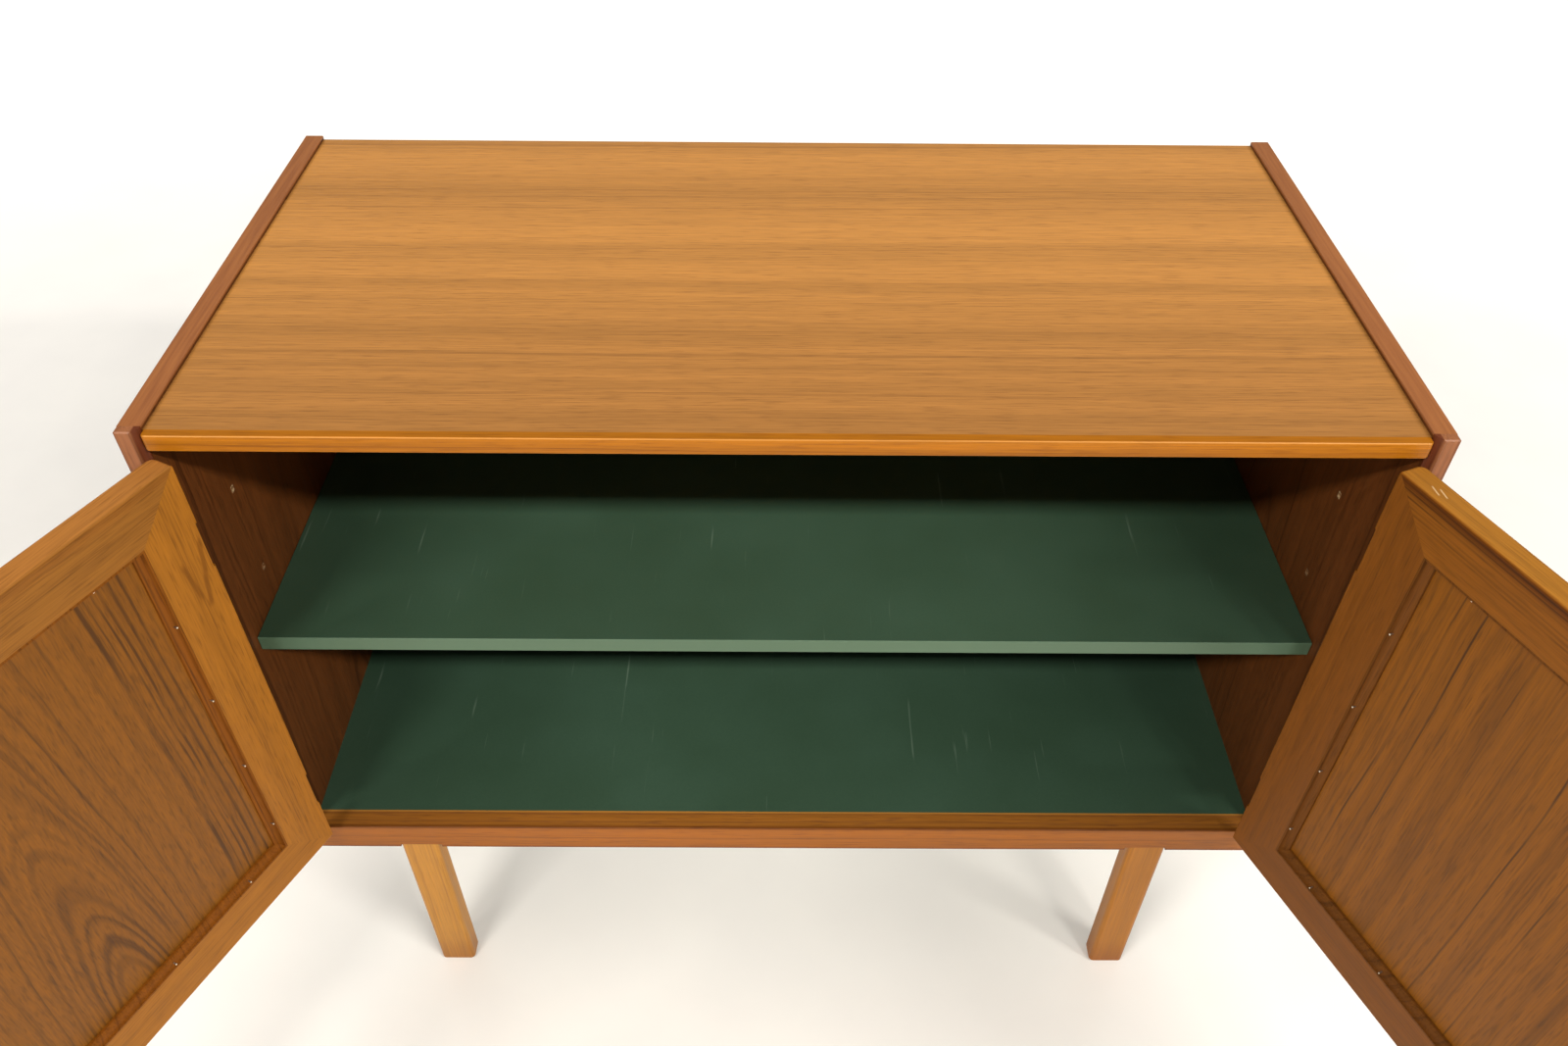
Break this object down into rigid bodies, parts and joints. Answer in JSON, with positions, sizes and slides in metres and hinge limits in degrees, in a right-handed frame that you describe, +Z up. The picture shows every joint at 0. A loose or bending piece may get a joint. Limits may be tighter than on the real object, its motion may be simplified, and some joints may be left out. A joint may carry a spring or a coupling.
{
  "type": "tv stand with doors",
  "caption": "Low teak cabinet on straight legs with framed doors standing open, a green painted shelf and floor, and a flat top for a television.",
  "frame": {"origin": "on the floor under the middle of the carcass", "axes": "+Z up, -Y out of the front between the doors, +X to the right seen from the front"},
  "size_m": [1.3678, 0.9446, 0.79],
  "materials": {
    "teak": "oiled solid teak, satin",
    "teak_veneer": "teak veneer, satin lacquer",
    "figured_teak": "figured teak veneer with dark streaks, satin",
    "pale_wood": "stained beech, satin",
    "beech": "raw beech",
    "painted_board": "dark green paint on board, eggshell",
    "brass": "aged brass",
    "steel": "bright zinc plated steel",
    "brown_plastic": "brown moulded plastic"
  },
  "bodies": {
    "cabinet": {"back_left_leg": "pale_wood", "back_panel": "painted_board", "back_panel_screws": "steel", "back_right_leg": "pale_wood", "bottom_back_rail": "teak", "bottom_front_rail": "teak", "bottom_panel": "painted_board", "carcass_dowels": "beech", "catch_screws": "steel", "front_left_leg": "pale_wood", "front_right_leg": "pale_wood", "hinge_side_screws": "brass", "left_hinge_pins": "brass", "left_lower_hinge_side_leaf": "brass", "left_side_lipping": "teak", "left_side_panel": "teak_veneer", "left_upper_hinge_side_leaf": "brass", "leg_bolts": "steel", "leg_glides": "steel", "magnetic_catches": "brown_plastic", "right_hinge_pins": "brass", "right_lower_hinge_side_leaf": "brass", "right_side_lipping": "teak", "right_side_panel": "teak_veneer", "right_upper_hinge_side_leaf": "brass", "shelf": "painted_board", "shelf_pins": "steel", "top_front_lipping": "teak", "top_panel": "teak_veneer"},
    "left_door": {"left_door_bead_pins": "steel", "left_door_beads": "teak", "left_door_bottom_rail": "teak", "left_door_hinge_screws": "brass", "left_door_hinge_stile": "teak", "left_door_knob": "teak", "left_door_knob_screw": "steel", "left_door_meeting_stile": "teak", "left_door_mitre_tongues": "beech", "left_door_panel": "figured_teak", "left_door_strike_plate": "steel", "left_door_top_rail": "teak", "left_lower_hinge_door_leaf": "brass", "left_upper_hinge_door_leaf": "brass"},
    "right_door": {"right_door_bead_pins": "steel", "right_door_beads": "teak", "right_door_bottom_rail": "teak", "right_door_hinge_screws": "brass", "right_door_hinge_stile": "teak", "right_door_knob": "teak", "right_door_knob_screw": "steel", "right_door_meeting_stile": "teak", "right_door_mitre_tongues": "beech", "right_door_panel": "figured_teak", "right_door_strike_plate": "steel", "right_door_top_rail": "teak", "right_lower_hinge_door_leaf": "brass", "right_upper_hinge_door_leaf": "brass"}
  },
  "joints": [
    {"name": "left_door_hinge", "type": "hinge", "parent": "cabinet", "child": "left_door", "pos_m": [-0.4794, -0.247, 0.5235], "axis": [0, 0, -1], "range_deg": [-116, 54]},
    {"name": "right_door_hinge", "type": "hinge", "parent": "cabinet", "child": "right_door", "pos_m": [0.4794, -0.247, 0.5235], "axis": [0, 0, 1], "range_deg": [-112.6, 57.4]}
  ]
}
